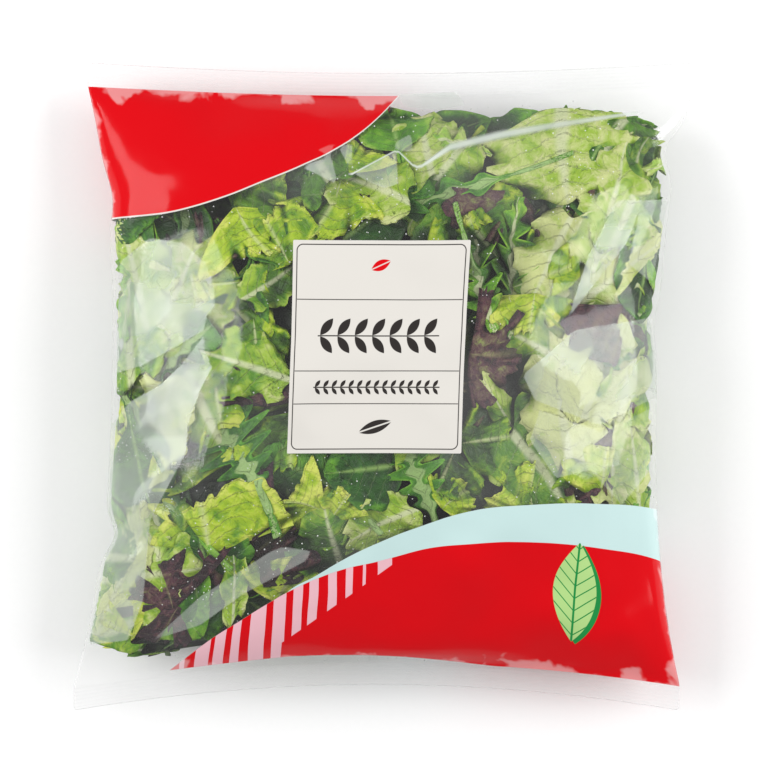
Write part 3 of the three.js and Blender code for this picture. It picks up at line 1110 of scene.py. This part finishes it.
def condensation_tree():
    """Geometry nodes that scatter small drops over the inside of the film's front."""
    tree, nodes, given = geometry_tree("condensation", [
        ("Film", "Geometry", None), ("Drop", "Object", None), ("Material", "Material", None),
        ("Density", "Float", 60000.0), ("Seed", "Int", 4), ("Smallest", "Float", 0.12 * MM),
        ("Largest", "Float", 0.36 * MM)], "Drops")
    cloud = nodes.node("ShaderNodeTexNoise", None, {"Scale": 28.0, "Detail": 2.0}).rise(0.42, 0.66)
    height = nodes.axes(nodes.node("GeometryNodeInputPosition")).output("Z")
    on_front = height.rise(SEAM_HEIGHT + 1 * MM, SEAM_HEIGHT + 6 * MM)
    density = given.output("Density") * cloud * on_front
    points = nodes.node("GeometryNodeDistributePointsOnFaces", None,
                        {"Mesh": given.output("Film"), "Density": density, "Seed": given.output("Seed")})
    size = nodes.node("FunctionNodeRandomValue", None,
                      {"Min_001": given.output("Smallest"), "Max_001": given.output("Largest"), "Seed": 3})
    drop = nodes.node("GeometryNodeObjectInfo", None, {"Object": given.output("Drop")}).output("Geometry")
    drops = nodes.node("GeometryNodeInstanceOnPoints", None,
                       {"Points": points, "Instance": drop, "Rotation": points.output("Rotation"),
                        "Scale": size})
    loose = nodes.node("GeometryNodeRealizeInstances", None, [drops])
    nodes.node("NodeGroupOutput", None, [nodes.node("GeometryNodeSetMaterial", None, {
        "Geometry": loose, "Material": given.output("Material")})])
    return tree


def condensation(film):
    """Small drops of water on the inside of the front film, as one mesh."""
    material, nodes = new_material("water_drops")
    relief = nodes.noise(nodes.object_place(), 900.0, 1.0)
    water = nodes.surface({"Base Color": WHITE, "Roughness": 0.1 + relief * 0.1, "IOR": 1.33})
    nodes.finish(0.45, nodes.node("ShaderNodeBsdfTransparent"), water)
    bpy.ops.mesh.primitive_ico_sphere_add(subdivisions=1, radius=1, location=(0, 0, -1.2))
    drop = bpy.context.object
    drop.data.transform(mathutils.Matrix.Translation(drop.location))
    drop.location = (0, 0, 0)
    made = grown(film, "condensation", condensation_tree(), {"Drop": drop, "Material": material})
    bpy.data.objects.remove(drop)
    return made


def shade_painted_filling(across, along, sheets, ways):
    """The crowd of leaves deeper in the bag, as one lumpy closed body coloured with their painted shade.
    """
    rng = np.random.default_rng(FILLING_SEED)
    front, back = vertex_numbers(across, along, seals_are_one=True)
    points = np.zeros((back.max() + 1, 3))
    rim = at_fold(across)[..., None]
    cornered = np.abs(across / HALF_TUBE * along / HALF_LENGTH)[..., None] ** 3
    for numbers, sheet, way in ((back, sheets[1], ways[1]), (front, sheets[0], ways[0])):
        lumps = bumps(across, along, rng, count=260, height=1.0, size=(5 * MM, 11 * MM))[..., None]
        share = np.where(rim, 0.5, np.clip(0.46 - 0.16 * lumps, 0.3, 0.65)) + 0.5 * cornered
        points[numbers] = sheet + way * share
    body = slice(SEAL_ROWS, SEAL_ROWS + BODY_ROWS + 1)
    faces = np.concatenate([quads(front[body]), quads(back[body])[:, ::-1]])
    used = np.unique(faces)
    renumber = np.zeros(len(points), int)
    renumber[used] = np.arange(len(used))
    points[:, 0] *= 1 - 0.3 * (np.abs(points[:, 1]) / HALF_LENGTH) ** 4
    points[:, 1] *= 0.9
    return new_object("shaded_filling", points[used], renumber[faces])


def filling_material():
    # Dark greens and purples that paint the shade of the leaves deep in the bag.
    material, nodes = new_material("shaded_leaves")
    place = nodes.object_place()
    patch = nodes.node("ShaderNodeTexVoronoi", {"feature": "F1"}, {"Vector": place, "Scale": 70.0})
    pick = nodes.axes(patch.output("Color"))
    shade = nodes.mix(pick, colour(30, 50, 18), colour(84, 116, 40))
    shade = nodes.mix(pick.output("Y") > 0.75, shade, colour(40, 28, 32))
    shade = nodes.mix(nodes.noise(place, 90.0, 4.0).rise(0.35, 0.6), shade, colour(20, 34, 14))
    relief = nodes.noise(place, 110.0, 4.0) + patch.rise(0.0, 0.5)
    nodes.finish(nodes.surface({
        "Base Color": shade, "Roughness": 0.6, "Normal": nodes.bump(relief, 0.9, 2 * MM)}))
    return material


# Studio

def floor():
    half = FLOOR_WIDTH / 2
    corners = [(-half, -half, 0), (half, -half, 0), (half, half, 0), (-half, half, 0)]
    made = new_object("studio_floor", corners, [(0, 1, 2, 3)])
    material, nodes = new_material("white_paper")
    grain = nodes.noise(nodes.object_place(), 500.0, 2.0)
    paper = nodes.mix(grain, (0.93, 0.93, 0.93, 1), (0.95, 0.95, 0.95, 1))
    nodes.finish(nodes.surface({"Base Color": paper, "Roughness": 0.9, "Specular IOR Level": 0.1}))
    made.data.materials.append(material)
    return made


def softbox(side):
    """A square lamp that stands beside the bag and is tilted towards it."""
    light = bpy.data.lights.new(f"softbox_{side}", "AREA")
    light.shape = "RECTANGLE"
    light.size = light.size_y = SOFTBOX["width"]
    light.energy = SOFTBOX["power"]
    made = bpy.data.objects.new(light.name, light)
    made.location = (side * SOFTBOX["across"], SOFTBOX["along"], SOFTBOX["up"])
    made.rotation_euler = (0, math.radians(side * SOFTBOX["tilt"]), 0)
    bpy.context.scene.collection.objects.link(made)


def studio():
    camera = bpy.data.cameras.new("camera")
    camera.sensor_width = SENSOR
    camera.lens = SENSOR * (CAMERA[2] - SEAM_HEIGHT) / (PICTURE * SCALE_AT_SEAM)
    made = bpy.data.objects.new("camera", camera)
    made.location = CAMERA
    bpy.context.scene.collection.objects.link(made)
    scene = bpy.context.scene
    scene.camera = made
    for side in (-1, 1):
        softbox(side)
    world = bpy.data.worlds.new("studio")
    scene.world = world
    world.use_nodes = True
    background = world.node_tree.nodes["Background"]
    background.inputs["Color"].default_value = WHITE
    background.inputs["Strength"].default_value = SKY_LIGHT
    scene.view_settings.view_transform = "Standard"
    for name, value in BOUNCES.items():
        setattr(scene.cycles, name, value)


# Build

# How many forms each kind of leaf has, and for each kind its form, its finish and how far it waves, in
# millimetres
FORMS = 5
LEAF_KINDS = {
    "romaine_leaves": (romaine_form, leaf_material(
        "crisp_leaf", ((44, 88, 4), (98, 160, 18), (176, 212, 56), (228, 237, 156)), (236, 242, 196),
        rib=(0.03, 0.1), veins=7.0), 2.4),
    "frilly_leaves": (frilly_form, leaf_material(
        "frilly_leaf", ((44, 92, 0), (112, 168, 4), (190, 222, 24), (234, 244, 104)), (232, 240, 176),
        rib=(0.01, 0.04), veins=5.0, tip=0.3), 1.5),
    "red_leaves": (frilly_form, leaf_material(
        "red_frilly_leaf", ((46, 18, 30), (98, 52, 64), (126, 104, 82), (160, 172, 90)), (168, 160, 110),
        rib=(0.01, 0.03), veins=5.0, tip=-0.3, crinkled=3.0, grain=260.0), 1.5),
    "rocket_leaves": (rocket_form, leaf_material(
        "rocket_leaf", ((22, 64, 4), (54, 124, 12), (108, 184, 34), (166, 216, 84)), (188, 222, 140),
        rib=(0.02, 0.8), veins=9.0, crinkled=1.0), 2.0),
    "endive_leaves": (endive_form, leaf_material(
        "endive_leaf", ((72, 136, 8), (128, 196, 28), (182, 222, 78), (226, 238, 150)), (236, 242, 190),
        rib=(0.1, 0.2), veins=9.0), 2.0),
    "baby_leaves": (baby_form, leaf_material(
        "baby_leaf", ((18, 56, 6), (44, 108, 12), (114, 184, 26), (180, 220, 74)), (168, 208, 110),
        rib=(0.02, 0.05), veins=8.0, crinkled=1.0), 2.0),
}
# Leaves that show through the front: the column and row of the picture where each has its middle, its
# turn in degrees, its width and length against its kind's form, its tone from dark to light, and its
# depth under the film in steps.
SEEN_LEAVES = [
    ("romaine", 560, 148, 184, 1.6, 0.86, 1.1, 1.2), ("rocket", 452, 192, 108, 0.9, 1.0, 0.8, 0.8),
    ("baby", 612, 128, -25, 1.1, 0.9, 0.6, 1.5), ("frilly", 580, 108, 0, 0.7, 0.6, 0.9, 2),
    ("baby", 452, 121, -70, 1.1, 0.7, 0.45, 3), ("baby", 520, 126, 90, 1.2, 0.75, 0.5, 3),
    ("baby", 392, 122, 15, 1.1, 0.7, 0.8, 1.5), ("romaine", 422, 140, 20, 0.8, 0.6, 1.1, 1.6),
    ("endive", 447, 142, 60, 0.7, 0.6, 0.6, 2), ("romaine", 432, 178, 140, 0.9, 0.8, 0.8, 2),
    ("romaine", 368, 178, 60, 0.9, 0.75, 1.0, 1.4), ("frilly", 350, 150, -30, 0.8, 0.7, 0.7, 2),
    ("red", 508, 216, 160, 0.95, 0.95, 0.6, 3), ("red", 470, 172, 10, 0.5, 0.5, 0.5, 5),
    ("baby", 598, 190, 30, 0.8, 0.7, 0.0, 3), ("red", 582, 226, 70, 0.8, 0.8, 0.9, 4),
    ("rocket", 612, 180, 50, 0.7, 0.5, 0.9, 3), ("romaine", 617, 200, -14, 0.8, 1.1, 1.0, 2),
    ("romaine", 645, 215, 6, 0.6, 1.2, 0.7, 3), ("endive", 492, 262, 22, 1.2, 1.1, 0.1, 2.5),
    ("endive", 518, 268, -18, 1.2, 1.1, 0.2, 2), ("rocket", 486, 300, -160, 1.1, 0.8, 0.7, 2.5),
    ("endive", 504, 292, 70, 1.1, 0.9, 0.0, 4), ("romaine", 552, 262, 158, 0.9, 0.9, 1.7, 1.0),
    ("romaine", 608, 284, -52, 1.0, 1.4, 1.5, 1.2), ("frilly", 533, 312, 175, 0.7, 0.6, 1.0, 2),
    ("red", 493, 358, -100, 0.9, 0.8, 0.6, 1.2), ("romaine", 540, 345, 60, 0.8, 0.8, 0.55, 3.5),
    ("red", 488, 392, 100, 0.8, 0.75, 0.7, 4.5), ("frilly", 482, 440, -80, 0.9, 0.9, 0.0, 2.5),
    ("frilly", 448, 470, 160, 1.0, 0.8, -0.3, 3.5), ("frilly", 452, 498, -40, 0.6, 0.55, 0.9, 1.5),
    ("romaine", 502, 410, 38, 0.35, 0.7, 0.95, 1.5), ("frilly", 530, 492, 10, 0.8, 0.7, 0.8, 2),
    ("romaine", 560, 400, 12, 1.1, 1.0, 1.7, 1.2), ("romaine", 603, 365, -20, 1.2, 1.0, 1.9, 1),
    ("romaine", 618, 435, 165, 1.1, 1.1, 1.4, 1.5), ("romaine", 560, 455, -10, 0.9, 1.0, 0.7, 3),
    ("frilly", 605, 475, 0, 1.1, 0.9, 0.85, 2), ("rocket", 640, 390, 0, 1.0, 1.1, 0.4, 2.5),
    ("rocket", 644, 310, 170, 1.0, 0.7, 0.6, 2), ("romaine", 642, 475, 5, 0.6, 1.0, 0.9, 2),
    ("rocket", 240, 462, 30, 1.9, 0.68, 0.6, 0.4), ("frilly", 205, 530, 14, 1.35, 1.0, 0.85, 1.2),
    ("romaine", 235, 579, 4, 0.36, 0.72, 1.0, 0.5), ("red", 165, 585, 20, 1.15, 1.05, 0.3, 0.9),
    ("red", 162, 628, 150, 1.0, 0.8, 0.2, 1.1), ("baby", 202, 568, 20, 1.3, 0.8, 0.0, 3),
    ("frilly", 115, 630, 60, 0.8, 0.7, 1.2, 1.0), ("romaine", 117, 580, -14, 0.6, 1.2, 1.7, 1.2),
    ("baby", 184, 630, -30, 1.1, 0.8, 0.6, 2.2), ("frilly", 284, 586, -20, 0.9, 0.75, 1.0, 1.8),
    ("red", 262, 512, 90, 0.7, 0.7, 0.2, 1.8), ("red", 270, 545, -60, 0.8, 0.8, 0.0, 4),
    ("frilly", 303, 500, 60, 0.75, 0.75, 1.0, 1.8), ("frilly", 338, 508, -30, 0.6, 0.6, 1.0, 1.8),
    ("rocket", 418, 482, 20, 1.5, 0.7, 0.8, 1.0), ("baby", 372, 470, 100, 1.1, 0.8, 0.1, 2),
    ("romaine", 331, 540, 20, 0.8, 0.75, 0.4, 2), ("romaine", 380, 522, 110, 0.7, 0.6, 1.1, 1.4),
    ("frilly", 292, 440, 180, 1.0, 0.9, 0.1, 2.5), ("rocket", 334, 472, 38, 1.3, 0.65, 0.9, 1.8),
    ("frilly", 180, 465, 30, 0.9, 0.9, 0.5, 3), ("red", 206, 416, 100, 0.5, 0.5, 1.0, 3),
    ("romaine", 150, 428, 160, 1.1, 0.9, 1.8, 1.2), ("frilly", 132, 478, -60, 1.0, 0.9, 1.4, 1.5),
    ("romaine", 126, 515, 10, 0.8, 0.8, 1.0, 2.5), ("frilly", 246, 236, -160, 1.15, 1.0, 0.85, 1.5),
    ("frilly", 278, 242, 30, 0.7, 0.8, 0.6, 1.5), ("baby", 305, 212, 0, 1.0, 0.95, 0.05, 2.5),
    ("frilly", 334, 205, 165, 0.9, 0.9, 0.75, 2), ("rocket", 385, 214, -30, 1.2, 0.7, 0.3, 2.8),
    ("red", 350, 226, 60, 0.7, 0.6, 0.0, 4), ("baby", 126, 232, 120, 1.0, 0.7, 0.2, 2),
    ("romaine", 132, 272, 10, 0.9, 0.9, 1.0, 1.6), ("romaine", 165, 300, -20, 1.0, 1.1, 0.9, 2.5),
    ("frilly", 188, 272, 200, 0.9, 0.9, 1.0, 3), ("romaine", 150, 335, 15, 1.1, 1.1, 1.5, 1.5),
    ("romaine", 194, 322, 160, 0.8, 0.8, 0.9, 3), ("red", 216, 253, -80, 0.6, 0.6, 0.9, 3.5),
    ("frilly", 226, 284, 100, 0.6, 0.6, 0.7, 2), ("frilly", 242, 312, -120, 1.0, 0.9, 0.2, 3),
    ("romaine", 277, 280, -62, 0.7, 0.7, 0.6, 1.6), ("frilly", 256, 340, 190, 0.85, 0.8, 0.35, 2),
    ("romaine", 240, 362, 72, 0.7, 0.9, 0.7, 1.4), ("baby", 234, 388, 20, 0.9, 0.9, 0.4, 2),
    ("red", 268, 384, 0, 0.7, 0.7, 0.1, 1.6), ("rocket", 166, 360, -48, 1.0, 0.7, 0.2, 1.0),
    ("frilly", 124, 385, -80, 0.6, 0.6, 0.7, 1.8), ("baby", 180, 225, 60, 0.9, 0.9, 0.4, 3),
    ("endive", 150, 560, 20, 0.9, 0.8, 0.9, 2),
]
# Layers of leaves beside them, below them and over the back: depth under the film, how much painted shade
# darkens them, where the layer starts and how wide it is across the unrolled tube in millimetres, and how
# many of each kind it has
SCATTER = [
    (2.5, 0.0, 98, 284, (26, 12, 9, 13, 9, 22)),
    (6, 0.55, -240, 480, (22, 10, 14, 14, 6, 36)),
    (11, 0.8, -240, 480, (12, 4, 7, 8, 4, 38)),
]

ACROSS, ALONG = flat_film()
filled = fill_film(ACROSS, ALONG)
laid = [lay_down(sheet, ACROSS, ALONG, side) for sheet, side in zip(filled, (1, -1))]
ways_in = inward_ways(ACROSS, ALONG, laid)

film = film_object(ACROSS, ALONG, laid, ways_in)
dress_film(film)

drape = under_film_tree()
places = place_leaves(ACROSS, ALONG, laid[0])
for leaf_kind in LEAF_KINDS:
    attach(lay_leaves(leaf_kind, places[leaf_kind], film, drape), "root")
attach(condensation(film), "root")
film.data.attributes.remove(film.data.attributes["inward"])

filling = shade_painted_filling(ACROSS, ALONG, laid, ways_in)
filling.data.materials.append(filling_material())
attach(filling, "root")

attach(film, "root")
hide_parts(BAG_NODE)

floor()
studio()
